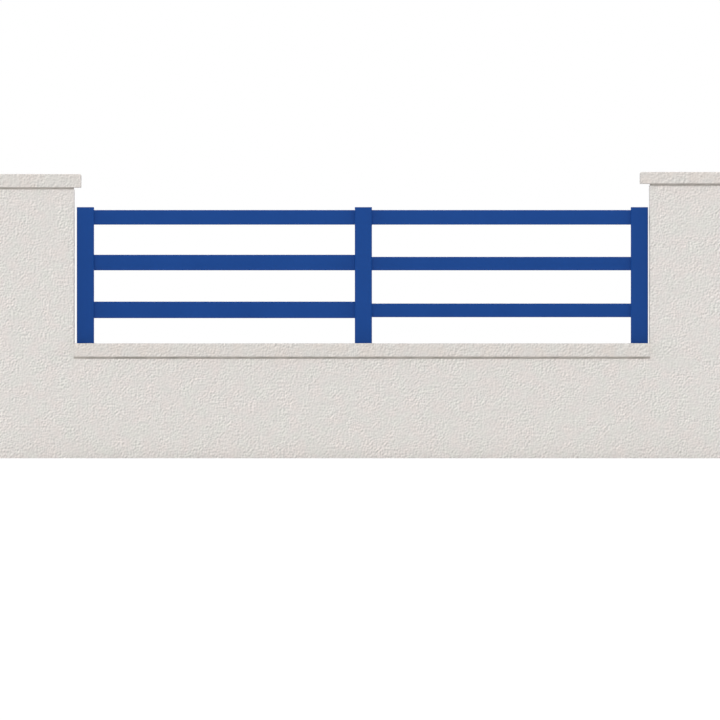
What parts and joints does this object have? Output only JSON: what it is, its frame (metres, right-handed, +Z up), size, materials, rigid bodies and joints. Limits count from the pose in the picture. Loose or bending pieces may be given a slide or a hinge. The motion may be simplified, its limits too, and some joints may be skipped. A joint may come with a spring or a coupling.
{
  "type": "slatted garden fence between pillars",
  "caption": "Blue post-and-rail aluminium garden fence set in the coping of a rendered low wall between rendered pillars with flat caps.",
  "frame": {"origin": "on the ground under the low wall, half way between the pillars' inner faces, in the vertical middle plane of the wall and the fence", "axes": "+X along the wall to the right seen from the front, +Z up, the front faces -Y"},
  "size_m": [3.909, 0.498, 1.503],
  "materials": {
    "masonry_render": "off-white textured render on masonry, matt",
    "rendered_coping": "off-white textured render on concrete, matt",
    "bedding_mortar": "grey cement mortar, matt",
    "powder_coated_aluminium": "blue powder coat, satin"
  },
  "bodies": {
    "root": {"low_wall": "masonry_render", "left_pillar": "masonry_render", "right_pillar": "masonry_render", "coping_bed": "bedding_mortar", "coping": "rendered_coping", "left_cap_bed": "bedding_mortar", "right_cap_bed": "bedding_mortar", "left_cap": "rendered_coping", "right_cap": "rendered_coping", "left_post": "powder_coated_aluminium", "middle_post": "powder_coated_aluminium", "right_post": "powder_coated_aluminium", "left_post_cap": "powder_coated_aluminium", "middle_post_cap": "powder_coated_aluminium", "right_post_cap": "powder_coated_aluminium", "left_top_rail": "powder_coated_aluminium", "left_middle_rail": "powder_coated_aluminium", "left_bottom_rail": "powder_coated_aluminium", "right_top_rail": "powder_coated_aluminium", "right_middle_rail": "powder_coated_aluminium", "right_bottom_rail": "powder_coated_aluminium", "left_post_grout": "bedding_mortar", "middle_post_grout": "bedding_mortar", "right_post_grout": "bedding_mortar"}
  },
  "joints": []
}
